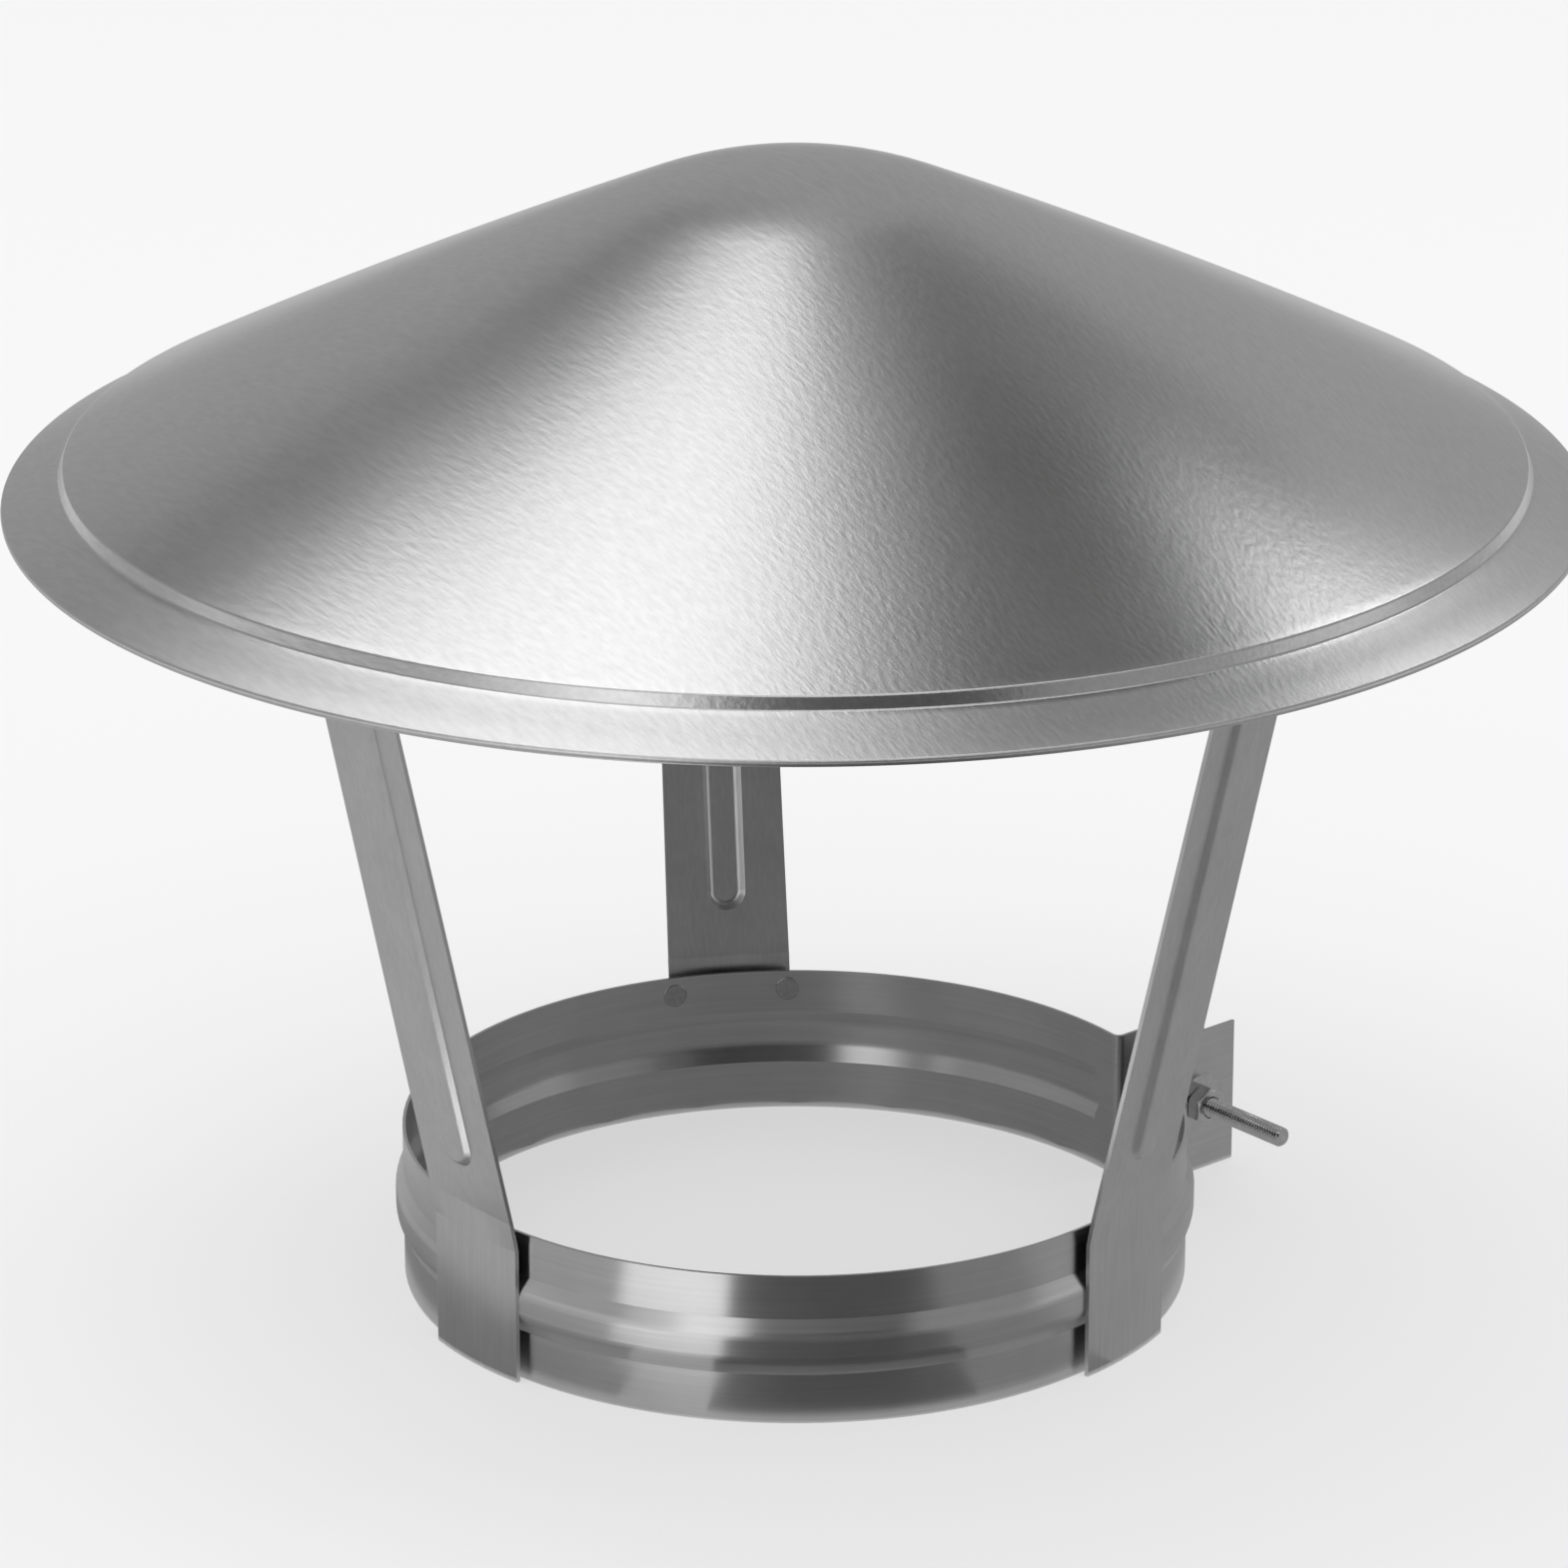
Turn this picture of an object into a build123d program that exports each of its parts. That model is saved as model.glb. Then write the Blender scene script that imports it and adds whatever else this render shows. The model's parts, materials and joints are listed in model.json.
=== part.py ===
from build123d import *
import os
from math import atan2, cos, degrees, radians, sin, sqrt, tan

# Chimney rain cap: a spun cone on three strap legs, which stand on a split clamp band.
# Millimetres, +Z up, origin at the centre of the band's bottom edge.

# Clamp band
band_inner_radius = 76.0  # slips over a flue pipe of 150 mm with 1 mm to spare all round
band_sheet = 0.6
band_height = 30.0
bead_height = 11.4
bead_depth = 1.5
bead_centre_height = 15.6
bead_flank = 3.2  # height of each sloping side of the bead
bead_crest_round = 4.0
bead_end_distance = 7.0  # along the band, from an ear to where the bead dies out

# Split and ears
split_angle = 19.0  # where the band is cut, from +X towards +Y
ear_lean = 12.0  # the ears stand this many degrees past the radius
ear_reach = 25.0  # from the band's inner face
ear_gap = 8.0
ear_bend_round = 1.2
ear_hole_radius = 2.25
ear_hole_reach = 15.0

# Bolt, nut and washers, metric size 4
bolt_radius = 2.0
bolt_length = 35.0  # under the head
bolt_point_chamfer = 0.5
head_flats = 7.0
head_height = 2.8
nut_flats = 7.0
nut_height = 3.2
nut_mouth_chamfer = 0.3
thread_clearance = 0.05  # nut bore over bolt
hex_face_share = 0.95  # round flat face of head and nut, over their width across flats
hex_corner_slope = 30.0
washer_radius = 6.0
washer_hole_radius = 2.15
washer_sheet = 1.0
seat_clearance = 0.02  # between faces that turn on each other

# Cap
cap_radius = 150.0
rim_height = 159.5  # outer face of the sheet at the rim
cap_sheet = 0.6
brim_width = 11.0
brim_slope = 25.0
step_height = 2.5
step_draw = 0.8
step_round = 0.8
cone_foot_slope = 27.0
cone_top_slope = 23.5  # the cone bows gently, so it is flatter near the top
skirt_width = 2.0  # plain cone between the bow and the step
dome_start_radius = 33.0
hem_width = 5.0
hem_space = 0.4  # left inside the fold

# Legs
leg_angles = {"leg_left": -151.0, "leg_right": -46.0, "leg_back": 90.0}  # from +X towards +Y
leg_sheet = 0.8
leg_foot_width = 25.0
leg_head_width = 22.5
leg_foot_bend = 3.0  # height of foot, and of strap above it, that the lower bend takes up
leg_head_inset = 38.0  # from the rim in to where the strap meets the underside of the cone
leg_head_bend_round = 1.4
leg_tab_length = 15.0
rib_width = 8.6
rib_depth = 1.2
rib_slope = 45.0
rib_end_distance = 9.0  # plain strap left at each end of the rib
rib_crest_round = 1.3

os.makedirs("parts", exist_ok=True)


# Cap shell: a cone that bows gently under a round top, then a step, a brim and a hem folded under.
step_foot_radius = cap_radius - brim_width
step_foot_height = rim_height + brim_width * tan(radians(brim_slope))
cone_foot = Vector(step_foot_radius - step_draw, step_foot_height + step_height)
bow_foot = cone_foot + Vector(-skirt_width, skirt_width * tan(radians(cone_foot_slope)))
bow_turn = cone_foot_slope - cone_top_slope
bow_radius = (bow_foot.X - dome_start_radius) / (
    sin(radians(cone_foot_slope)) - sin(radians(cone_top_slope))
)
bow_centre = bow_foot - Vector(0, bow_radius).rotate(Axis.Z, -cone_foot_slope)
dome_radius = dome_start_radius / sin(radians(cone_top_slope))
dome_centre = bow_centre + Vector(0, bow_radius - dome_radius).rotate(Axis.Z, -cone_top_slope)
hem_round = cap_sheet + hem_space / 2
brim_length = (brim_width - hem_round * (1 - sin(radians(brim_slope)))) / cos(radians(brim_slope))


def dome_arc(depth):
    """Round top of the face that lies this deep in the sheet."""
    reach = Vector(0, dome_radius - depth)
    slopes = (0, cone_top_slope / 2, cone_top_slope)
    return ThreePointArc(*[dome_centre + reach.rotate(Axis.Z, -slope) for slope in slopes])


def bow_curve(depth):
    """Gently bowed cone of the face that lies this deep in the sheet, close to an arc."""
    reach = Vector(0, bow_radius - depth)
    start = bow_centre + reach.rotate(Axis.Z, -cone_top_slope)
    end = bow_centre + reach.rotate(Axis.Z, -cone_foot_slope)
    corner_distance = (bow_radius - depth) * tan(radians(bow_turn) / 2)
    corner = start + Vector(corner_distance, 0).rotate(Axis.Z, -cone_top_slope)
    return Bezier(start, corner, end)


def underside_height(radius):
    """Height of the cone's inner face at a radius."""
    return bow_centre.Y + sqrt((bow_radius - cap_sheet) ** 2 - (radius - bow_centre.X) ** 2)


with BuildPart() as cap_shell:
    with BuildSketch(Plane.XZ):
        with BuildLine():
            outer_dome = dome_arc(0)
            outer_bow = bow_curve(0)
            inner_bow = bow_curve(cap_sheet)
            inner_dome = dome_arc(cap_sheet)
            Line(outer_dome @ 0, inner_dome @ 0)
            Line(outer_bow @ 1, inner_bow @ 1)
        make_face()
        with BuildLine():
            skirt = Line(bow_foot, cone_foot)
            step = Line(cone_foot, (step_foot_radius, step_foot_height))
            brim = PolarLine(step @ 1, brim_length, -brim_slope)
            hem_fold = JernArc(brim @ 1, brim % 1, hem_round, -180)
            hem = PolarLine(hem_fold @ 1, hem_width, 180 - brim_slope)
            fillet(vertices().sort_by_distance(step @ 0.5)[0:2], step_round)
            offset(amount=cap_sheet, side=Side.RIGHT)
        make_face()
    revolve(axis=Axis.Z)


# Clamp band: one strip that runs round the flue and turns outwards at both sides of the split.
band_outer_radius = band_inner_radius + band_sheet
bead_reach = band_outer_radius + bead_depth
ear_angle = split_angle + ear_lean
ear_way = Vector(1, 0).rotate(Axis.Z, ear_angle)
bolt_way = ear_way.rotate(Axis.Z, -90)  # from the bolt's head to its nut
split_point = Vector(band_inner_radius, 0).rotate(Axis.Z, split_angle)
bolt_point = split_point + ear_way * ear_hole_reach + Vector(0, 0, band_height / 2)
bolt_plane = Plane(origin=bolt_point, x_dir=(0, 0, 1), z_dir=bolt_way)


def ear_face(side, reach):
    """Point on the gap face of the front ear (side 1) or the back ear (side -1)."""
    return split_point + bolt_way * (side * ear_gap / 2) + ear_way * reach


def ear_root(side):
    """Point where an ear's gap face meets the band's inner circle."""
    start = ear_face(side, 0)
    along = start.dot(ear_way)
    return ear_face(side, sqrt(along**2 - start.dot(start) + band_inner_radius**2) - along)


def root_angle(side):
    root = ear_root(side)
    return degrees(atan2(root.Y, root.X))


def upright_plane(angle):
    """Plane through the axis, with its X outwards at this angle and its Y up."""
    return Plane(
        origin=(0, 0, 0),
        x_dir=Vector(1, 0).rotate(Axis.Z, angle),
        z_dir=Vector(0, -1).rotate(Axis.Z, angle),
    )


def bead_section(angle, base_radius, reach, corner_shift, crest_round):
    """Cross-section of the bead in the upright plane at an angle, from a base radius outwards."""
    low = bead_centre_height - bead_height / 2 + corner_shift
    high = bead_centre_height + bead_height / 2 - corner_shift
    wall_radius = reach - bead_depth
    with BuildSketch(upright_plane(angle)) as section:
        with BuildLine():
            Polyline(
                (wall_radius - bead_depth, low),
                (wall_radius, low),
                (reach, low + bead_flank),
                (reach, high - bead_flank),
                (wall_radius, high),
                (wall_radius - bead_depth, high),
                close=True,
            )
        make_face()
        fillet(vertices().group_by(Axis.X)[-1], crest_round)
        # Trimmed to start at the base radius.
        with Locations((base_radius, bead_centre_height)):
            Rectangle(reach, bead_height, align=(Align.MIN, Align.CENTER), mode=Mode.INTERSECT)
    return section.sketch


# Across a fold, the sheet's inner face turns a little nearer to the bead's middle.
bead_fold_angle = Vector(bead_flank, bead_depth).get_angle(Vector(1, 0))
inner_shift = band_sheet * tan(radians(bead_fold_angle) / 2)
inner_reach = bead_reach - band_sheet
inner_crest_round = bead_crest_round - band_sheet
sheet_middle_radius = band_inner_radius + band_sheet / 2
bead_end_angle = degrees(bead_end_distance / band_inner_radius)
bead_start = root_angle(-1) + bead_end_angle
bead_stop = root_angle(1) - bead_end_angle + 360
bead_ends = {bead_start: -1, bead_stop: 1}

with BuildPart() as clamp_band:
    with BuildSketch():
        with BuildLine():
            Line(ear_face(1, ear_reach), ear_root(1))
            ThreePointArc(ear_root(1), -split_point, ear_root(-1))
            Line(ear_root(-1), ear_face(-1, ear_reach))
            fillet(vertices().sort_by_distance(split_point)[0:2], ear_bend_round + band_sheet)
            offset(amount=band_sheet, side=Side.LEFT)
        make_face()
    extrude(amount=band_height)
    # The bead is raised outside the sheet and hollow inside it, with a rounded end at each ear.
    outer_bead = bead_section(bead_start, sheet_middle_radius, bead_reach, 0, bead_crest_round)
    revolve(outer_bead, axis=Axis.Z, revolution_arc=bead_stop - bead_start)
    for angle, way in bead_ends.items():
        hinge = Axis(Vector(sheet_middle_radius, 0).rotate(Axis.Z, angle), (0, 0, 1))
        outer_end = bead_section(angle, sheet_middle_radius, bead_reach, 0, bead_crest_round)
        revolve(outer_end, axis=hinge, revolution_arc=way * 90)
    hollow_base = band_inner_radius - bead_depth / 2
    hollow = bead_section(bead_start, hollow_base, inner_reach, inner_shift, inner_crest_round)
    revolve(hollow, axis=Axis.Z, revolution_arc=bead_stop - bead_start, mode=Mode.SUBTRACT)
    for angle, way in bead_ends.items():
        hinge = Axis(Vector(sheet_middle_radius, 0).rotate(Axis.Z, angle), (0, 0, 1))
        hollow_end = bead_section(
            angle, sheet_middle_radius, inner_reach, inner_shift, inner_crest_round
        )
        revolve(hollow_end, axis=hinge, revolution_arc=way * 180, mode=Mode.SUBTRACT)
    with BuildSketch(bolt_plane):
        Circle(ear_hole_radius)
    extrude(amount=ear_gap, both=True, mode=Mode.SUBTRACT)


# Leg: a curved foot that stands on the bead, a leaning strap with a rib, and a tab under the cone.
leg_head_radius = cap_radius - leg_head_inset
foot_inner_radius = bead_reach
foot_outer_radius = foot_inner_radius + leg_sheet
foot_side_radius = sqrt(foot_inner_radius**2 - (leg_foot_width / 2) ** 2)
strap_foot = Vector((foot_side_radius + foot_outer_radius) / 2, 0, band_height)
tab_end_radius = leg_head_radius - leg_tab_length * cos(radians(cone_foot_slope))
tab_corner_radius = sqrt(tab_end_radius**2 + (leg_head_width / 2) ** 2)
# The tab is flat, so its corners meet the cone first. Its middle is filled up to the cone.
tab_drop = underside_height(tab_end_radius) - underside_height(tab_corner_radius)
tab_drop += leg_sheet / 2 / cos(radians(cone_foot_slope))
strap_head = Vector(leg_head_radius, 0, underside_height(leg_head_radius) - tab_drop)
tab_end = Vector(tab_end_radius, 0, underside_height(tab_end_radius) - tab_drop)
strap_way = (strap_head - strap_foot).normalized()
strap_out = strap_way.rotate(Axis.Y, 90)
strap_start = strap_foot + strap_way * leg_foot_bend
strap_length = (strap_head - strap_start).length
# The filling ends inside the cone's sheet, and the cone is then cut out of it.
tab_fill_height = tab_drop + cap_sheet / 4
tab_up = (tab_end - strap_head).normalized().rotate(Axis.Y, 90) * tab_fill_height
rib_middle = (strap_start + strap_head) / 2
rib_length = strap_length - 2 * rib_end_distance
rib_inner_shift = leg_sheet * tan(radians(rib_slope) / 2)


def rib_block(shift):
    """The raised shape of the rib, lying on the ground, smaller all round by a shift."""
    with BuildPart() as block:
        with BuildSketch():
            SlotOverall(rib_length - 2 * shift, rib_width - 2 * shift)
        extrude(amount=rib_depth, taper=rib_slope)
        fillet(faces().sort_by(Axis.Z)[-1].edges(), rib_crest_round)
    return block.part


def foot_section():
    """Closed lines round the foot's curved cross-section."""
    half_width = leg_foot_width / 2
    outer_side_radius = sqrt(foot_outer_radius**2 - half_width**2)
    with BuildLine() as section:
        inner = ThreePointArc(
            (foot_side_radius, -half_width), (foot_inner_radius, 0), (foot_side_radius, half_width)
        )
        outer = ThreePointArc(
            (outer_side_radius, half_width), (foot_outer_radius, 0), (outer_side_radius, -half_width)
        )
        Line(inner @ 1, outer @ 0)
        Line(outer @ 1, inner @ 0)
    return section.line


with BuildPart() as strap:
    with BuildSketch(Plane.XZ):
        with BuildLine():
            path = FilletPolyline(
                (strap_start.X, strap_start.Z),
                (strap_head.X, strap_head.Z),
                (tab_end.X, tab_end.Z),
                radius=leg_head_bend_round + leg_sheet / 2,
            )
            offset(amount=leg_sheet / 2, side=Side.BOTH)
        make_face()
        tab_line = path.edges().sort_by_distance((tab_end.X, tab_end.Z))[0]
        with BuildLine():
            Polyline(
                tab_line @ 0,
                tab_line @ 1,
                tab_line @ 1 + (tab_up.X, tab_up.Z),
                tab_line @ 0 + (tab_up.X, tab_up.Z),
                close=True,
            )
        make_face()
    extrude(amount=leg_foot_width / 2, both=True)
    # The strap narrows towards the cap.
    with BuildSketch(Plane.YZ):
        with BuildLine():
            Polyline(
                (-leg_foot_width / 2, band_height),
                (leg_foot_width / 2, band_height),
                (leg_head_width / 2, strap_head.Z - leg_tab_length),
                (leg_head_width / 2, strap_head.Z + leg_tab_length),
                (-leg_head_width / 2, strap_head.Z + leg_tab_length),
                (-leg_head_width / 2, strap_head.Z - leg_tab_length),
                close=True,
            )
        make_face()
    extrude(amount=cap_radius, mode=Mode.INTERSECT)
    with Locations(Plane(origin=rib_middle + strap_out * leg_sheet / 2, x_dir=strap_way, z_dir=strap_out)):
        add(rib_block(0))
    with Locations(Plane(origin=rib_middle - strap_out * leg_sheet / 2, x_dir=strap_way, z_dir=strap_out)):
        add(rib_block(rib_inner_shift), mode=Mode.SUBTRACT)
    add(cap_shell.part.rotate(Axis.Z, 180), mode=Mode.SUBTRACT)

with BuildPart() as leg:
    with BuildSketch():
        add(foot_section())
        make_face()
    extrude(amount=band_height - leg_foot_bend)
    with BuildSketch(Plane.XY.offset(band_height - leg_foot_bend)) as bend_start:
        add(foot_section())
        make_face()
    with BuildSketch(Plane(origin=strap_start, x_dir=strap_out, z_dir=strap_way)) as bend_end:
        Rectangle(leg_sheet, leg_foot_width)
    loft([bend_start.sketch, bend_end.sketch])
    add(strap.part)


# Bolt, nut and washers: each is placed along the bolt, measured from the middle of the gap.
washer_seat = ear_gap / 2 + band_sheet + seat_clearance
nut_seat = washer_seat + washer_sheet + seat_clearance


def hexagon(flats, height):
    """Hexagonal block with its corners turned off at both ends, standing on the ground."""
    turned_radius = hex_face_share * flats / 2
    cone_reach = height / 2 / tan(radians(hex_corner_slope))
    with BuildPart() as block:
        with BuildSketch():
            RegularPolygon(flats / 2, 6, major_radius=False)
        extrude(amount=height)
        with BuildSketch(Plane.XZ):
            with BuildLine():
                Polyline(
                    (0, 0),
                    (turned_radius, 0),
                    (turned_radius + cone_reach, height / 2),
                    (turned_radius, height),
                    (0, height),
                    close=True,
                )
            make_face()
        revolve(axis=Axis.Z, mode=Mode.INTERSECT)
    return block.part


with BuildPart() as clamp_bolt:
    with BuildSketch(bolt_plane.offset(-nut_seat)):
        Circle(bolt_radius)
    extrude(amount=bolt_length)
    chamfer(edges().filter_by(GeomType.CIRCLE).sort_by(Axis(bolt_point, bolt_way))[-1], bolt_point_chamfer)
    with Locations(bolt_plane.offset(-nut_seat - head_height)):
        add(hexagon(head_flats, head_height))

with BuildPart() as clamp_nut:
    with Locations(bolt_plane.offset(nut_seat)):
        add(hexagon(nut_flats, nut_height))
    with BuildSketch(bolt_plane.offset(nut_seat)):
        Circle(bolt_radius + thread_clearance)
    extrude(amount=nut_height, mode=Mode.SUBTRACT)
    chamfer(edges().filter_by(GeomType.CIRCLE).sort_by(SortBy.RADIUS)[0:2], nut_mouth_chamfer)


def flat_washer(start):
    with BuildPart() as washer:
        with BuildSketch(bolt_plane.offset(start)):
            Circle(washer_radius)
            Circle(washer_hole_radius, mode=Mode.SUBTRACT)
        extrude(amount=washer_sheet)
    return washer


head_washer = flat_washer(-washer_seat - washer_sheet)
nut_washer = flat_washer(washer_seat)


# Files
cap_shell.part.label = "cap_shell"
export_step(cap_shell.part, "parts/cap_shell.step")

clamp_band.part.label = "clamp_band"
export_step(clamp_band.part, "parts/clamp_band.step")

for leg_name, leg_angle in leg_angles.items():
    placed_leg = leg.part.rotate(Axis.Z, leg_angle)
    placed_leg.label = leg_name
    export_step(placed_leg, f"parts/{leg_name}.step")

clamp_bolt.part.label = "clamp_bolt"
export_step(clamp_bolt.part, "parts/clamp_bolt.step")

clamp_nut.part.label = "clamp_nut"
export_step(clamp_nut.part, "parts/clamp_nut.step")

head_washer.part.label = "head_washer"
export_step(head_washer.part, "parts/head_washer.step")

nut_washer.part.label = "nut_washer"
export_step(nut_washer.part, "parts/nut_washer.step")
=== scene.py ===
import json
from math import atan2, cos, hypot, pi, radians, sin, tan

import bpy
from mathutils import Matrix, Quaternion, Vector


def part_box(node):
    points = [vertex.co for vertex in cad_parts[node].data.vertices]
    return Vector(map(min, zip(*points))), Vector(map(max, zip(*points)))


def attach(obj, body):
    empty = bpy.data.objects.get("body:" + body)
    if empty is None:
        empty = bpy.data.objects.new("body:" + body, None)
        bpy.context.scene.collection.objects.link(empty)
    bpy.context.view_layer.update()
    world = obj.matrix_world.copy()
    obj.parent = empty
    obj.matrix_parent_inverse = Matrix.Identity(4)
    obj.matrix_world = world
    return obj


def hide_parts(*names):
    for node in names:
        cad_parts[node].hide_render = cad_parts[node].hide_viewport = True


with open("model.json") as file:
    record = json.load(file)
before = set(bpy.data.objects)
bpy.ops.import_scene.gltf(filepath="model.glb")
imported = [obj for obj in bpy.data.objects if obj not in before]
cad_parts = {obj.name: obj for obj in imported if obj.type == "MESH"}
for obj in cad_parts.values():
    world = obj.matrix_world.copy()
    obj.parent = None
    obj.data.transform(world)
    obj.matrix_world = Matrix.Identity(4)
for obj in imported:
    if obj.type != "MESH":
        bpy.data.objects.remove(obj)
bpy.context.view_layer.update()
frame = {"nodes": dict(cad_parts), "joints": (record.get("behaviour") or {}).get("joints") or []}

# Rain cap for a round flue: pressed cone, three ribbed legs, split clamp band with its bolt.
nodes = frame["nodes"]
print("rain cap: frame loaded,", len(nodes), "pieces")


# Small helpers for node trees
def addNode(tree, kind, inputs=None, **settings):
    node = tree.nodes.new(kind)
    for name, value in settings.items():
        setattr(node, name, value)
    for name, value in (inputs or {}).items():
        if isinstance(value, bpy.types.NodeSocket):
            tree.links.new(value, node.inputs[name])
        else:
            node.inputs[name].default_value = value
    return node


def maths(tree, operation, first, second=0.0):
    return addNode(tree, "ShaderNodeMath", {0: first, 1: second}, operation=operation).outputs[0]


# Grain lies mostly between 0.3 and 0.7, so that is what a spread reaches over.
def spread(tree, value, low, high, fromLow=0.3, fromHigh=0.7):
    limits = {"From Min": fromLow, "From Max": fromHigh, "To Min": low, "To Max": high}
    return addNode(tree, "ShaderNodeMapRange", {"Value": value, **limits}).outputs["Result"]


def blended(tree, first, second, share):
    rest = maths(tree, "MULTIPLY", second, 1.0 - share)
    return maths(tree, "ADD", maths(tree, "MULTIPLY", first, share), rest)


def grain(tree, vector, scale, detail=2.0):
    inputs = {"Vector": vector, "Scale": scale, "Detail": detail}
    return addNode(tree, "ShaderNodeTexNoise", inputs).outputs[0]


def stretched(tree, vector, scale, turn=(0, 0, 0)):
    turned = addNode(tree, "ShaderNodeMapping", {"Vector": vector, "Rotation": turn}).outputs[0]
    return addNode(tree, "ShaderNodeMapping", {"Vector": turned, "Scale": scale}).outputs[0]


def bump(tree, layers):
    normal = None
    for height, depth in layers:
        inputs = {"Height": height, "Strength": 1.0, "Distance": depth}
        if normal is not None:
            inputs["Normal"] = normal
        normal = addNode(tree, "ShaderNodeBump", inputs).outputs[0]
    return normal


def greyMix(tree, factor, dark, light):
    node = addNode(tree, "ShaderNodeMix", data_type="RGBA")
    tree.links.new(factor, node.inputs[0])
    node.inputs[6].default_value = (dark, dark, dark, 1)  # colour A
    node.inputs[7].default_value = (light, light, light, 1)  # colour B
    return node.outputs[2]


def newMetal(name):
    material = bpy.data.materials.new(name)
    material.use_nodes = True
    tree = material.node_tree
    shader = tree.nodes["Principled BSDF"]
    shader.inputs["Metallic"].default_value = 1.0
    coords = addNode(tree, "ShaderNodeTexCoord").outputs["Object"]
    return material, tree, shader, coords


def finishMetal(tree, shader, tone, tones, roughness, normal):
    grey = greyMix(tree, spread(tree, tone, 0.0, 1.0), *tones)
    tree.links.new(grey, shader.inputs["Base Color"])
    tree.links.new(roughness, shader.inputs["Roughness"])
    tree.links.new(normal, shader.inputs["Normal"])


def dress(names, material):
    for name in names:
        slots = nodes[name].data.materials
        slots.clear()
        slots.append(material)


# Cold rolled sheet of the cone, with its fine brushing all one way across the cone
capSteel = {
    "tones": (0.53, 0.61),
    "roughness": (0.276, 0.3),
    "brushTurn": 66.0,  # degrees that the brushing lies off the X axis
    "brushAlong": 180.0,
    "brushAcross": 1000.0,
    "brushDepth": 0.00004,
    "brushShare": 0.7,
    "cloudScale": 22.0,
    "brimStart": 0.1395,  # distance from the axis
    "brimBlend": 0.001,
    "brimDull": 0.075,  # how much rougher the pressed brim is
}


def sheetSteel(settings):
    material, tree, shader, coords = newMetal("sheetSteel")
    scale = (settings["brushAlong"], settings["brushAcross"], settings["brushAcross"])
    turn = (0, 0, radians(settings["brushTurn"]))
    brushing = grain(tree, stretched(tree, coords, scale, turn), 1.0)
    clouds = grain(tree, coords, settings["cloudScale"], detail=1.0)
    tone = blended(tree, brushing, clouds, settings["brushShare"])
    flat = addNode(tree, "ShaderNodeVectorMath", {0: coords, 1: (1, 1, 0)}, operation="MULTIPLY")
    reach = addNode(tree, "ShaderNodeVectorMath", {0: flat.outputs[0]}, operation="LENGTH")
    start, dull = settings["brimStart"], settings["brimDull"]
    end = start + settings["brimBlend"]
    brim = spread(tree, reach.outputs["Value"], 0.0, dull, start, end)
    roughness = maths(tree, "ADD", spread(tree, clouds, *settings["roughness"]), brim)
    normal = bump(tree, [(brushing, settings["brushDepth"])])
    finishMetal(tree, shader, tone, settings["tones"], roughness, normal)
    return material


capSteelSheet = sheetSteel(capSteel)


# Geometry Nodes helpers: a tree with named inputs, what the trees share, and a piece made with one
def newShape(name, sockets):
    tree = bpy.data.node_groups.new(name, "GeometryNodeTree")
    labels = {"Geometry": "NodeSocketGeometry", **sockets, "Material": "NodeSocketMaterial"}
    for label, kind in labels.items():
        tree.interface.new_socket(label, in_out="INPUT", socket_type=kind)
    tree.interface.new_socket("Geometry", in_out="OUTPUT", socket_type="NodeSocketGeometry")
    return tree, addNode(tree, "NodeGroupInput").outputs


def ownPlace(tree):
    place = addNode(tree, "GeometryNodeInputPosition").outputs[0]
    return addNode(tree, "ShaderNodeSeparateXYZ", {0: place}).outputs


def movedTo(tree, geometry, x, y, z):
    place = addNode(tree, "ShaderNodeCombineXYZ", {"X": x, "Y": y, "Z": z}).outputs[0]
    moved = {"Geometry": geometry, "Position": place}
    return addNode(tree, "GeometryNodeSetPosition", moved).outputs[0]


def creased(tree, geometry, sharpAngle):
    smooth = addNode(tree, "GeometryNodeSetShadeSmooth", {"Geometry": geometry}).outputs[0]
    angle = addNode(tree, "GeometryNodeInputMeshEdgeAngle").outputs["Unsigned Angle"]
    sharp = maths(tree, "GREATER_THAN", angle, sharpAngle)
    edges = {"Geometry": smooth, "Selection": sharp, "Shade Smooth": False}
    return addNode(tree, "GeometryNodeSetShadeSmooth", edges, domain="EDGE").outputs[0]


def endShape(tree, geometry, material):
    real = addNode(tree, "GeometryNodeRealizeInstances", {"Geometry": geometry}).outputs[0]
    dressed = {"Geometry": real, "Material": material}
    done = addNode(tree, "GeometryNodeSetMaterial", dressed).outputs[0]
    addNode(tree, "NodeGroupOutput", {"Geometry": done})


def makePiece(name, mesh, tree, values, body):
    piece = bpy.data.objects.new(name, mesh)
    bpy.context.scene.collection.objects.link(piece)
    modifier = piece.modifiers.new(tree.name, "NODES")
    modifier.node_group = tree
    for item in tree.interface.items_tree:
        if item.in_out == "INPUT" and item.name in values:
            modifier[item.identifier] = values[item.name]
    graph = bpy.context.evaluated_depsgraph_get()
    made = bpy.data.meshes.new_from_object(piece.evaluated_get(graph))
    piece.modifiers.clear()
    piece.data = made
    made.name = name
    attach(piece, body)
    return piece


# Cone: one sheet turned from its section, which runs from the top down the outer face, round the
# hem and back up the inner face
capShape = {
    "radius": 0.15,
    "sheet": 0.0006,
    "domeStart": 0.033,
    "topSlope": 23.5,
    "footSlope": 27.0,
    "skirt": 0.002,
    "stepHeight": 0.0025,
    "stepDraw": 0.0008,
    "stepRound": 0.0008,
    "brimWidth": 0.011,
    "brimSlope": 25.0,
    "hemWidth": 0.005,
    "hemSpace": 0.0004,
    "domeSteps": 12,
    "bowSteps": 14,
    "stepSteps": 6,
    "brimSteps": 2,
    "hemSteps": 14,
    "segments": 320,
    "sharpAngle": 40.0,
}


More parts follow.
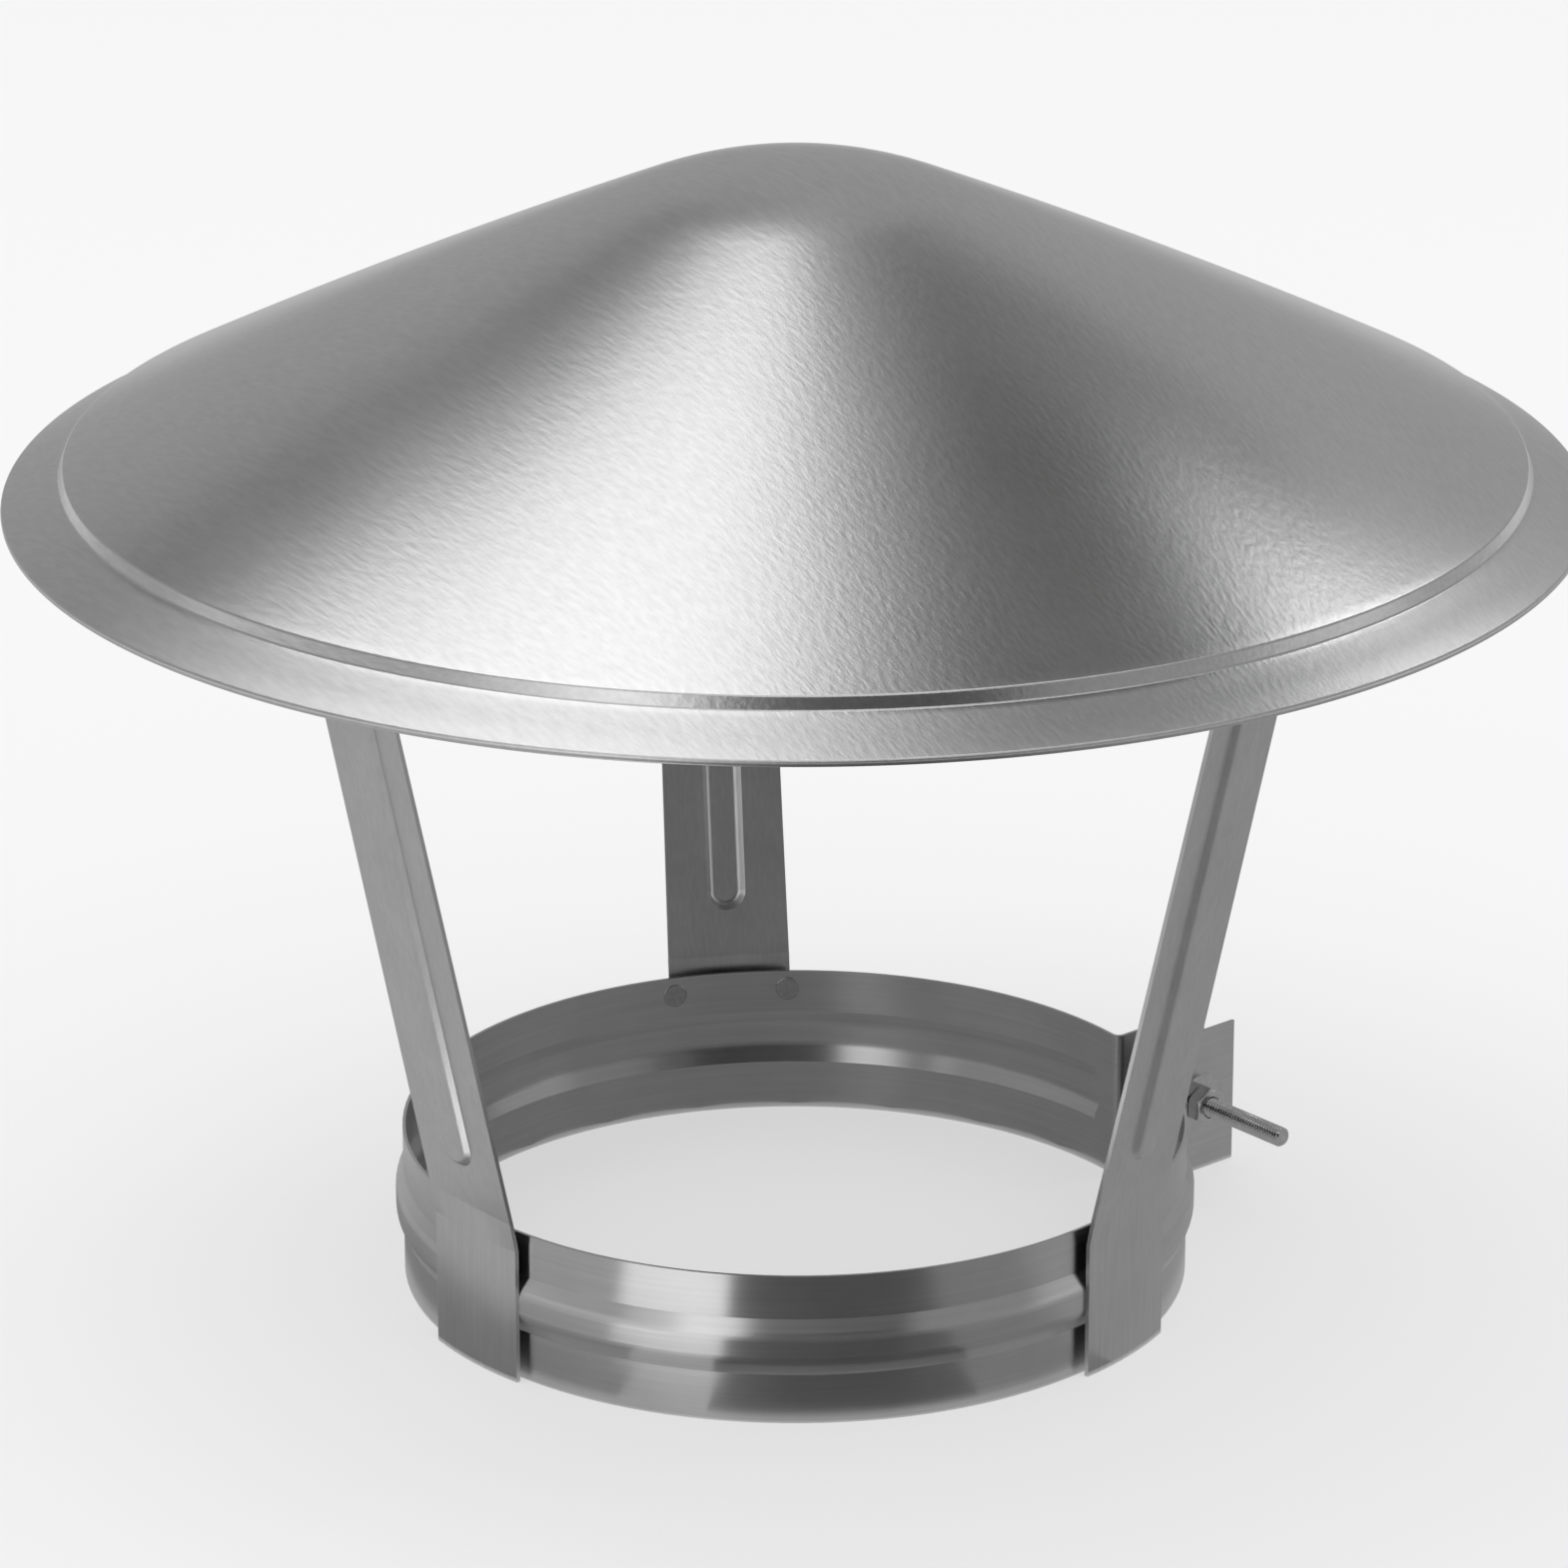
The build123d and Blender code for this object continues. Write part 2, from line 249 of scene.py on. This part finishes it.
def capMoves(shape):
    top, foot, brim = (radians(shape[name]) for name in ("topSlope", "footSlope", "brimSlope"))
    fall = atan2(shape["stepHeight"], shape["stepDraw"])
    bowEnd = shape["radius"] - shape["brimWidth"] - shape["stepDraw"] - shape["skirt"]
    bowReach = bowEnd - shape["domeStart"]
    upperCut = shape["stepRound"] * tan((fall - foot) / 2)
    lowerCut = shape["stepRound"] * tan((fall - brim) / 2)
    hemRound = shape["sheet"] + shape["hemSpace"] / 2
    brimLength = (shape["brimWidth"] - hemRound * (1 - sin(brim))) / cos(brim)
    stepLength = hypot(shape["stepHeight"], shape["stepDraw"])
    # Each move is a length, the angle it turns down by, and its number of steps.
    return [
        (shape["domeStart"] / sin(top) * top, top, shape["domeSteps"]),
        (bowReach / (sin(foot) - sin(top)) * (foot - top), foot - top, shape["bowSteps"]),
        (shape["skirt"] / cos(foot) - upperCut, 0.0, 1),
        (shape["stepRound"] * (fall - foot), fall - foot, shape["stepSteps"]),
        (stepLength - upperCut - lowerCut, 0.0, 1),
        (shape["stepRound"] * (fall - brim), brim - fall, shape["stepSteps"]),
        (brimLength - lowerCut, 0.0, shape["brimSteps"]),
        (hemRound * pi, pi, shape["hemSteps"]),
        (shape["hemWidth"], 0.0, 1),
    ]


def capSection(shape, height):
    place, slope = Vector((0, height)), 0.0
    outer, inner = [], []

    def mark():
        outer.append(place.copy())
        inner.append(place - shape["sheet"] * Vector((sin(slope), cos(slope))))

    mark()
    for length, turn, steps in capMoves(shape):
        half = turn / steps / 2
        stride = length / steps * (sin(half) / half if half else 1.0)
        for _ in range(steps):
            slope += half
            place += stride * Vector((cos(slope), -sin(slope)))
            slope += half
            mark()
    mesh = bpy.data.meshes.new("capSection")
    corners = [(corner.x, 0, corner.y) for corner in outer + inner[::-1]]
    mesh.from_pydata(corners, [(start, start + 1) for start in range(len(corners) - 1)], [])
    return mesh


def turnedShape():
    # A grid has one row of points for each point of the section, and is wrapped round the Z axis.
    sockets = {"Segments": "NodeSocketInt", "Sharp Angle": "NodeSocketFloat"}
    tree, given = newShape("turnedSheet", sockets)
    size = addNode(tree, "GeometryNodeAttributeDomainSize", {"Geometry": given["Geometry"]})
    count = size.outputs["Point Count"]
    around = maths(tree, "ADD", given["Segments"], 1.0)
    sizes = {"Size X": 1.0, "Size Y": 1.0, "Vertices X": around, "Vertices Y": count}
    grid = addNode(tree, "GeometryNodeMeshGrid", sizes).outputs["Mesh"]
    spot = ownPlace(tree)
    turn = maths(tree, "MULTIPLY", maths(tree, "ADD", spot["X"], 0.5), 2 * pi)
    share = maths(tree, "ADD", spot["Y"], 0.5)
    row = maths(tree, "MULTIPLY", share, maths(tree, "SUBTRACT", count, 1.0))
    section = addNode(tree, "GeometryNodeSampleIndex", data_type="FLOAT_VECTOR")
    place = addNode(tree, "GeometryNodeInputPosition").outputs[0]
    tree.links.new(given["Geometry"], section.inputs["Geometry"])
    tree.links.new(place, section.inputs["Value"])
    tree.links.new(maths(tree, "ROUND", row), section.inputs["Index"])
    corner = addNode(tree, "ShaderNodeSeparateXYZ", {0: section.outputs[0]}).outputs
    across = maths(tree, "MULTIPLY", corner["X"], maths(tree, "COSINE", turn))
    along = maths(tree, "MULTIPLY", corner["X"], maths(tree, "SINE", turn))
    turned = movedTo(tree, grid, across, along, corner["Z"])
    merged = {"Geometry": turned, "Distance": 0.000001}
    closed = addNode(tree, "GeometryNodeMergeByDistance", merged).outputs[0]
    outward = addNode(tree, "GeometryNodeFlipFaces", {"Mesh": closed}).outputs[0]
    endShape(tree, creased(tree, outward, given["Sharp Angle"]), given["Material"])
    return tree


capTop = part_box("cap_shell")[1][2]
capValues = {
    "Segments": capShape["segments"],
    "Sharp Angle": radians(capShape["sharpAngle"]),
    "Material": capSteelSheet,
}
capLine = capSection(capShape, capTop)
capSheet = makePiece("capSheet", capLine, turnedShape(), capValues, "cap_frame")
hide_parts("cap_shell")
print("rain cap: cone turned,", len(capSheet.data.polygons), "faces")


# Rolled strip of the legs and the band, with its lines along the strip
legSteel = {
    "tones": (0.5, 0.6),
    "roughness": (0.28, 0.34),
    "scale": (1500.0, 1500.0, 60.0),
    "depth": 0.000004,
}
bandSteel = {
    "tones": (0.48, 0.57),
    "roughness": (0.276, 0.3),
    "scale": (30.0, 30.0, 1500.0),
    "depth": 0.000003,
    "rolled": 0.85,  # the rolling spreads the band's reflections upright
    "rolledTurn": 0.25,
}
stripWear = {"lineShare": 0.5, "cloudScale": 70.0, "waveScale": 40.0, "waveDepth": 0.00012}


def stripSteel(name, settings, wear):
    material, tree, shader, coords = newMetal(name)
    lines = grain(tree, stretched(tree, coords, settings["scale"]), 1.0)
    clouds = grain(tree, coords, wear["cloudScale"], detail=3.0)
    waves = grain(tree, coords, wear["waveScale"], detail=1.0)
    normal = bump(tree, [(waves, wear["waveDepth"]), (lines, settings["depth"])])
    roughness = spread(tree, clouds, *settings["roughness"])
    tone = blended(tree, lines, clouds, wear["lineShare"])
    finishMetal(tree, shader, tone, settings["tones"], roughness, normal)
    shader.inputs["Anisotropic"].default_value = settings.get("rolled", 0.0)
    shader.inputs["Anisotropic Rotation"].default_value = settings.get("rolledTurn", 0.0)
    return material


dress(["leg_left", "leg_right", "leg_back"], stripSteel("legSteel", legSteel, stripWear))
dress(["clamp_band"], stripSteel("bandSteel", bandSteel, stripWear))
print("rain cap: legs and band dressed")


# Bright fasteners
boltSteel = {
    "tones": (0.52, 0.62),
    "roughness": (0.14, 0.22),
    "scale": 500.0,
    "depth": 0.000004,
}


def brightSteel(name, settings):
    material, tree, shader, coords = newMetal(name)
    specks = grain(tree, coords, settings["scale"], detail=3.0)
    normal = bump(tree, [(specks, settings["depth"])])
    roughness = spread(tree, specks, *settings["roughness"])
    finishMetal(tree, shader, specks, settings["tones"], roughness, normal)
    return material


fastenerSteel = brightSteel("brightSteel", boltSteel)
dress(["clamp_nut", "head_washer", "nut_washer"], fastenerSteel)
print("rain cap: nut and washers dressed")


# Spot welds: low rings of dull metal, two inside the band behind each leg and two under each tab
weldShape = {
    "Radius": 0.0025,
    "Height": 0.00012,
    "Crown": 1.9,  # with the dip, makes each spot a ring with a lower middle
    "Dip": 1.5,
    "bandRadius": 0.076,
    "bandHeight": 0.0262,
    "bandSpread": 0.0118,
    "tabReach": 0.1035,
    "tabSpread": 0.006,
    "tabSearch": 0.16,  # height from which the tab above is looked for
    "legTurns": {"leg_left": -151.0, "leg_right": -46.0, "leg_back": 90.0},
}
weldSteel = {
    "tones": (0.36, 0.46),
    "roughness": (0.34, 0.42),
    "scale": 1500.0,
    "depth": 0.00001,
}


def weldSpots(shape):
    spots, normals = [], []
    for leg, turn in shape["legTurns"].items():
        out = Vector((cos(radians(turn)), sin(radians(turn)), 0))
        side = Vector((-out.y, out.x, 0))
        for sign in (-1, 1):
            way = (out * shape["bandRadius"] + side * sign * shape["bandSpread"]).normalized()
            under = out * shape["tabReach"] + side * sign * shape["tabSpread"]
            rays = {
                "clamp_band": (Vector((0, 0, shape["bandHeight"])), way),
                leg: (Vector((under.x, under.y, shape["tabSearch"])), Vector((0, 0, 1))),
            }
            for node, (start, aim) in rays.items():
                found, place, normal, _ = nodes[node].ray_cast(start, aim)
                if found:
                    spots.append(place)
                    normals.append(normal)
    mesh = bpy.data.meshes.new("weldSpots")
    mesh.from_pydata(spots, [], [])
    facings = mesh.attributes.new("facing", "FLOAT_VECTOR", "POINT")
    facings.data.foreach_set("vector", [part for normal in normals for part in normal])
    return mesh


def weldTree():
    sizes = ("Radius", "Height", "Crown", "Dip")
    tree, given = newShape("spotWelds", {name: "NodeSocketFloat" for name in sizes})
    ballShape = {"Segments": 20, "Rings": 9, "Radius": 1.0}
    ball = addNode(tree, "GeometryNodeMeshUVSphere", ballShape).outputs["Mesh"]
    spot = ownPlace(tree)
    inward = maths(tree, "MULTIPLY", maths(tree, "MULTIPLY", spot["Z"], spot["Z"]), given["Dip"])
    ring = maths(tree, "SUBTRACT", given["Crown"], inward)
    rise = maths(tree, "MULTIPLY", maths(tree, "MULTIPLY", spot["Z"], ring), given["Height"])
    across = maths(tree, "MULTIPLY", spot["X"], given["Radius"])
    along = maths(tree, "MULTIPLY", spot["Y"], given["Radius"])
    pressed = movedTo(tree, ball, across, along, rise)
    smooth = addNode(tree, "GeometryNodeSetShadeSmooth", {"Geometry": pressed}).outputs[0]
    stored = addNode(tree, "GeometryNodeInputNamedAttribute", {"Name": "facing"},
                     data_type="FLOAT_VECTOR").outputs[0]
    turned = addNode(tree, "FunctionNodeAlignRotationToVector", {"Vector": stored}, axis="Z")
    laid = {"Points": given["Geometry"], "Instance": smooth, "Rotation": turned.outputs[0]}
    welds = addNode(tree, "GeometryNodeInstanceOnPoints", laid).outputs[0]
    endShape(tree, welds, given["Material"])
    return tree


weldValues = {**weldShape, "Material": brightSteel("weldSteel", weldSteel)}
weldPoints = weldSpots(weldShape)
makePiece("weldMarks", weldPoints, weldTree(), weldValues, "cap_frame")
print("rain cap: spot welds set,", len(weldPoints.vertices))


# Bolt: hexagon head with its corners turned off, and a rolled thread down the whole shank
boltShape = {
    "Radius": 0.002,
    "Length": 0.035,
    "Seat": -0.00564,  # underside of the head, along the bolt from the middle of the gap
    "Shank Start": -0.0002,  # just inside the head
    "Pitch": 0.0007,
    "Thread Depth": 0.0003,
    "Crest Share": 0.08,
    "Root Share": 0.42,
    "Point Chamfer": 0.0005,
    "Flats": 0.007,
    "Head Height": 0.0028,
    "Face Share": 0.95,
    "Corner Slope": radians(30),
    "Sharp Angle": radians(24),
    "Shank Sides": 32,
    "Shank Rows": 350,
    "Head Sides": 72,
    "Head Rows": 20,
}


# A drum from low to high, whose radius depends on the turn and the height
def ringShape(tree, sides, rows, low, high, radiusAt):
    shape = {"Vertices": sides, "Side Segments": rows, "Radius": 1.0, "Depth": 1.0}
    drum = addNode(tree, "GeometryNodeMeshCylinder", shape).outputs["Mesh"]
    spot = ownPlace(tree)
    share = maths(tree, "ADD", spot["Z"], 0.5)
    height = maths(tree, "MULTIPLY", share, maths(tree, "SUBTRACT", high, low))
    height = maths(tree, "ADD", height, low)
    reach = radiusAt(maths(tree, "ARCTAN2", spot["Y"], spot["X"]), height)
    across = maths(tree, "MULTIPLY", spot["X"], reach)
    along = maths(tree, "MULTIPLY", spot["Y"], reach)
    return movedTo(tree, drum, across, along, height)


def boltTree(shape):
    kinds = {float: "NodeSocketFloat", int: "NodeSocketInt"}
    sockets = {name: kinds[type(value)] for name, value in shape.items()}
    sockets.update({"Place": "NodeSocketVector", "Way": "NodeSocketVector"})
    tree, given = newShape("threadedBolt", sockets)

    def threadRadius(turn, height):
        # The crest climbs by a pitch for each turn to the right.
        climb = maths(tree, "DIVIDE", height, given["Pitch"])
        turns = maths(tree, "DIVIDE", turn, 2 * pi)
        phase = maths(tree, "FRACT", maths(tree, "SUBTRACT", climb, turns))
        fall = maths(tree, "ABSOLUTE", maths(tree, "SUBTRACT", phase, 0.5))
        crest, root = given["Crest Share"], given["Root Share"]
        cut = spread(tree, fall, 0.0, given["Thread Depth"], crest, root)
        left = maths(tree, "SUBTRACT", given["Length"], height)
        chamfer = maths(tree, "SUBTRACT", given["Point Chamfer"], left)
        cut = maths(tree, "MAXIMUM", cut, maths(tree, "MAXIMUM", chamfer, 0.0))
        return maths(tree, "SUBTRACT", given["Radius"], cut)

    def headRadius(turn, height):
        half = maths(tree, "DIVIDE", given["Flats"], 2.0)
        sector = maths(tree, "FLOORED_MODULO", turn, pi / 3)
        sector = maths(tree, "SUBTRACT", sector, pi / 6)
        side = maths(tree, "DIVIDE", half, maths(tree, "COSINE", sector))
        above = maths(tree, "ADD", height, given["Head Height"])
        edge = maths(tree, "MINIMUM", above, maths(tree, "MULTIPLY", height, -1.0))
        rise = maths(tree, "DIVIDE", edge, maths(tree, "TANGENT", given["Corner Slope"]))
        face = maths(tree, "MULTIPLY", half, given["Face Share"])
        return maths(tree, "MINIMUM", side, maths(tree, "ADD", face, rise))

    start, length = given["Shank Start"], given["Length"]
    below = maths(tree, "MULTIPLY", given["Head Height"], -1.0)
    shank = ringShape(tree, given["Shank Sides"], given["Shank Rows"], start, length, threadRadius)
    head = ringShape(tree, given["Head Sides"], given["Head Rows"], below, 0.0, headRadius)
    joined = addNode(tree, "GeometryNodeJoinGeometry")
    for part in (shank, head):
        tree.links.new(part, joined.inputs[0])
    edged = creased(tree, joined.outputs[0], given["Sharp Angle"])
    onward = {"Vector": given["Way"]}
    turned = addNode(tree, "FunctionNodeAlignRotationToVector", onward, axis="Z").outputs[0]
    upright = {"Rotation": turned, "Vector": (0, 0, 1)}
    turned = addNode(tree, "FunctionNodeAlignRotationToVector", upright, axis="X", pivot_axis="Z")
    shift = addNode(tree, "ShaderNodeVectorMath", {0: given["Way"]}, operation="SCALE")
    tree.links.new(given["Seat"], shift.inputs["Scale"])
    ends = {0: given["Place"], 1: shift.outputs[0]}
    seat = addNode(tree, "ShaderNodeVectorMath", ends, operation="ADD").outputs[0]
    laid = {"Geometry": edged, "Translation": seat, "Rotation": turned.outputs[0]}
    endShape(tree, addNode(tree, "GeometryNodeTransform", laid).outputs[0], given["Material"])
    return tree


boltJoint = next(joint for joint in frame["joints"] if joint["name"] == "bolt_turn")
boltValues = {
    **boltShape,
    "Place": boltJoint["pos_m"],
    "Way": boltJoint["axis"],
    "Material": fastenerSteel,
}
boltStart = bpy.data.meshes.new("boltStart")
boltNodes = boltTree(boltShape)
threadedBolt = makePiece("threadedBolt", boltStart, boltNodes, boltValues, "bolt")
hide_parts("clamp_bolt")
print("rain cap: bolt threaded,", len(threadedBolt.data.polygons), "faces")


# Floor, light and camera. Places are given as seen along the camera's line: turn is degrees to
# the right of straight on behind the cap, rise is degrees above the floor.
stageSettings = {
    "floorSize": 9.0,
    "floorTone": 0.94,
    "floorRough": 0.9,
    "floorShine": 0.1,
    "floorGlow": 0.6,  # share of the plain back tone in the floor that is seen
    "backTone": 0.947,
    "worldTone": 0.85,
    "lineOfSight": 80.1,
    "middle": (0, 0, 0.15),
}


def placeSeen(turn, rise, distance):
    angle = radians(stageSettings["lineOfSight"] - turn)
    flat = distance * cos(radians(rise))
    way = Vector((flat * cos(angle), flat * sin(angle), distance * sin(radians(rise))))
    return Vector(stageSettings["middle"]) + way


def facing(place, target=stageSettings["middle"], roll=0.0):
    turned = (Vector(place) - Vector(target)).to_track_quat("Z", "Y")
    return turned @ Quaternion((0, 0, 1), radians(roll))


def seenDirectly(tree):
    path = addNode(tree, "ShaderNodeLightPath").outputs
    seen = maths(tree, "MAXIMUM", path["Is Camera Ray"], path["Is Glossy Ray"])
    return maths(tree, "MAXIMUM", seen, path["Is Transmission Ray"])


def makeFloor(settings):
    half = settings["floorSize"] / 2
    mesh = bpy.data.meshes.new("floor")
    corners = [(-half, -half, 0), (half, -half, 0), (half, half, 0), (-half, half, 0)]
    mesh.from_pydata(corners, [], [(0, 1, 2, 3)])
    floor = bpy.data.objects.new("floor", mesh)
    bpy.context.scene.collection.objects.link(floor)
    material = bpy.data.materials.new("paperFloor")
    material.use_nodes = True
    tree = material.node_tree
    shader = tree.nodes["Principled BSDF"]
    tone, pale = settings["floorTone"], settings["backTone"]
    shader.inputs["Base Color"].default_value = (tone, tone, tone, 1)
    shader.inputs["Roughness"].default_value = settings["floorRough"]
    shader.inputs["Specular IOR Level"].default_value = settings["floorShine"]
    glow = addNode(tree, "ShaderNodeEmission", {"Color": (pale, pale, pale, 1), "Strength": 1.0})
    share = maths(tree, "MULTIPLY", seenDirectly(tree), settings["floorGlow"])
    both = {0: share, 1: shader.outputs[0], 2: glow.outputs[0]}
    mixed = addNode(tree, "ShaderNodeMixShader", both)
    tree.links.new(mixed.outputs[0], tree.nodes["Material Output"].inputs["Surface"])
    mesh.materials.append(material)


def makeWorld(settings):
    world = bpy.data.worlds.new("studio")
    bpy.context.scene.world = world
    world.use_nodes = True
    tree = world.node_tree
    low, high = settings["worldTone"], settings["backTone"]
    tone = spread(tree, seenDirectly(tree), low, high, 0.0, 1.0)
    tree.links.new(tone, tree.nodes["Background"].inputs["Color"])


lampSettings = {
    "overheadLeft": {
        "turn": -61,
        "rise": 71.5,
        "distance": 1.4,
        "size": (0.87, 0.89),
        "roll": -58.6,
        "glow": 1.4,
        "mirrored": True,
    },
    "sideRight": {
        "turn": 66,
        "rise": 6,
        "distance": 1.3,
        "size": (0.5, 0.5),
        "roll": 0,
        "glow": 2.0,
        "mirrored": False,  # lights the floor, without a window on the bead
    },
}


def makeLamps(settings):
    for name, lamp in settings.items():
        light = bpy.data.lights.new(name, "AREA")
        light.shape = "RECTANGLE"
        light.size, light.size_y = lamp["size"]
        light.energy = lamp["glow"] * pi * light.size * light.size_y
        item = bpy.data.objects.new(name, light)
        place = placeSeen(lamp["turn"], lamp["rise"], lamp["distance"])
        item.location = place
        item.rotation_euler = facing(place, roll=lamp["roll"]).to_euler()
        item.visible_glossy = lamp["mirrored"]
        bpy.context.scene.collection.objects.link(item)


# Grey, black and bright cards that only the metal sees, as in a studio for shiny things. Each is
# bent round the cap at its distance, between its turns and its rises. Where its upper edge lies
# between other turns, topTurns gives them.
cardGrid = {"wide": 16, "high": 10, "floorSteps": 24}
cardSettings = {
    "cardBack": {"turns": (-80, 80), "rises": (-4, 89), "distance": 2.3, "tone": 0.43},
    "cardLeft": {"turns": (-42, -41), "topTurns": (-77, 8), "rises": (26.5, 56),
                 "distance": 2.2, "tone": 0.15},
    "cardFan": {"turns": (-60, -45.5), "rises": (45, 55), "distance": 1.6, "tone": 1.4},
    "cardOverRight": {"turns": (31, 57), "topTurns": (24, 88), "rises": (35.3, 86),
                      "distance": 1.25, "tone": 0.0},
    "cardSpot": {"turns": (47.2, 60), "rises": (33.7, 52), "distance": 1.24, "tone": 4.0},
    "cardFront": {"turns": (148, 206), "rises": (-1, 35), "distance": 2.4, "tone": 0.03},
    "cardBead": {"turns": (194, 213), "rises": (-1, 30), "distance": 2.1, "tone": 1.7},
    "cardSideLeft": {"turns": (-132, -60), "rises": (10, 55), "distance": 2.0, "tone": 0.38},
    "cardSideRight": {"turns": (60, 148), "rises": (12, 55), "distance": 2.0, "tone": 0.38},
    "cardLowRight": {"turns": (110, 148), "rises": (-1, 12), "distance": 2.0, "tone": 0.34},
}
# Cards lying on the floor: turns as above, and reach from and to as distances from the middle
floorCardSettings = {
    "cardUnder": {"turns": (0, 360), "reach": (0.0, 0.9), "height": 0.0004, "tone": 0.55},
    # Painted shade: a dark sheet on the floor inside the band, where the cone shades it, seen only
    # in reflections on the metal
    "cardInsideShade": {"turns": (0, 360), "reach": (0.0, 0.076), "height": 0.0008, "tone": 0.25},
    "cardUnderSide": {"turns": (50, 130), "reach": (0.079, 0.9), "height": 0.0008, "tone": 0.4},
    "cardUnderRight": {"turns": (130, 152), "reach": (0.079, 0.9), "height": 0.0008, "tone": 0.28},
    "cardUnderFront": {"turns": (152, 193), "reach": (0.079, 0.9), "height": 0.0008, "tone": 0.1},
    "cardUnderLeft": {"turns": (193.5, 216), "reach": (0.112, 0.155), "height": 0.0008,
                      "tone": 2.25},
    # Painted shadow: a dark strip on the floor along the foot of the band, where its contact shadow
    # falls, seen only in reflections on the band
    "cardNearShadow": {"turns": (207, 300), "reach": (0.079, 0.102), "height": 0.0008, "tone": 0.28},
}


def glowMaterial(name, tone):
    material = bpy.data.materials.new(name)
    material.use_nodes = True
    tree = material.node_tree
    tree.nodes.remove(tree.nodes["Principled BSDF"])
    glow = addNode(tree, "ShaderNodeEmission", {"Color": (tone, tone, tone, 1), "Strength": 1.0})
    tree.links.new(glow.outputs[0], tree.nodes["Material Output"].inputs["Surface"])
    return material


def makeCard(name, corners, faces, tone):
    mesh = bpy.data.meshes.new(name)
    mesh.from_pydata(corners, [], faces)
    mesh.materials.append(glowMaterial(name, tone))
    item = bpy.data.objects.new(name, mesh)
    bpy.context.scene.collection.objects.link(item)
    item.visible_camera = False
    item.visible_diffuse = False
    item.visible_shadow = False


def between(ends, share):
    return ends[0] + (ends[1] - ends[0]) * share


def makeCards(settings, grid):
    wide, high = grid["wide"], grid["high"]
    for name, card in settings.items():
        low, top = card["turns"], card.get("topTurns", card["turns"])
        corners = []
        for row in range(high + 1):
            rise = between(card["rises"], row / high)
            start, stop = (between(pair, row / high) for pair in zip(low, top))
            turns = [between((start, stop), step / wide) for step in range(wide + 1)]
            corners += [placeSeen(turn, rise, card["distance"]) for turn in turns]
        starts = [row * (wide + 1) + step for row in range(high) for step in range(wide)]
        faces = [(start, start + 1, start + wide + 2, start + wide + 1) for start in starts]
        makeCard(name, corners, faces, card["tone"])


def makeFloorCards(settings, grid):
    steps = grid["floorSteps"]
    for name, card in settings.items():
        near, far = card["reach"]
        turns = [between(card["turns"], step / steps) for step in range(steps + 1)]
        rim = [placeSeen(turn, 0, far) for turn in turns]
        inner = [placeSeen(turn, 0, near) for turn in reversed(turns)]
        corners = rim[:-1] if near == 0.0 else rim + inner
        corners = [(corner.x, corner.y, card["height"]) for corner in corners]
        makeCard(name, corners, [range(len(corners))], card["tone"])


cameraSettings = {
    "place": (-0.24236, -1.37889, 0.623),
    "aim": (-0.00212, 0.00040, 0.09924),
    "lens": 178.6,
    "sensor": 36.0,
}


def makeCamera(settings):
    data = bpy.data.cameras.new("camera")
    data.lens = settings["lens"]
    data.sensor_width = settings["sensor"]
    camera = bpy.data.objects.new("camera", data)
    camera.location = settings["place"]
    camera.rotation_euler = facing(settings["place"], settings["aim"]).to_euler()
    bpy.context.scene.collection.objects.link(camera)
    bpy.context.scene.camera = camera


makeFloor(stageSettings)
makeWorld(stageSettings)
makeLamps(lampSettings)
makeCards(cardSettings, cardGrid)
makeFloorCards(floorCardSettings, cardGrid)
makeCamera(cameraSettings)
bpy.context.scene.view_settings.view_transform = "Standard"
print("rain cap: floor, lamps and camera set")
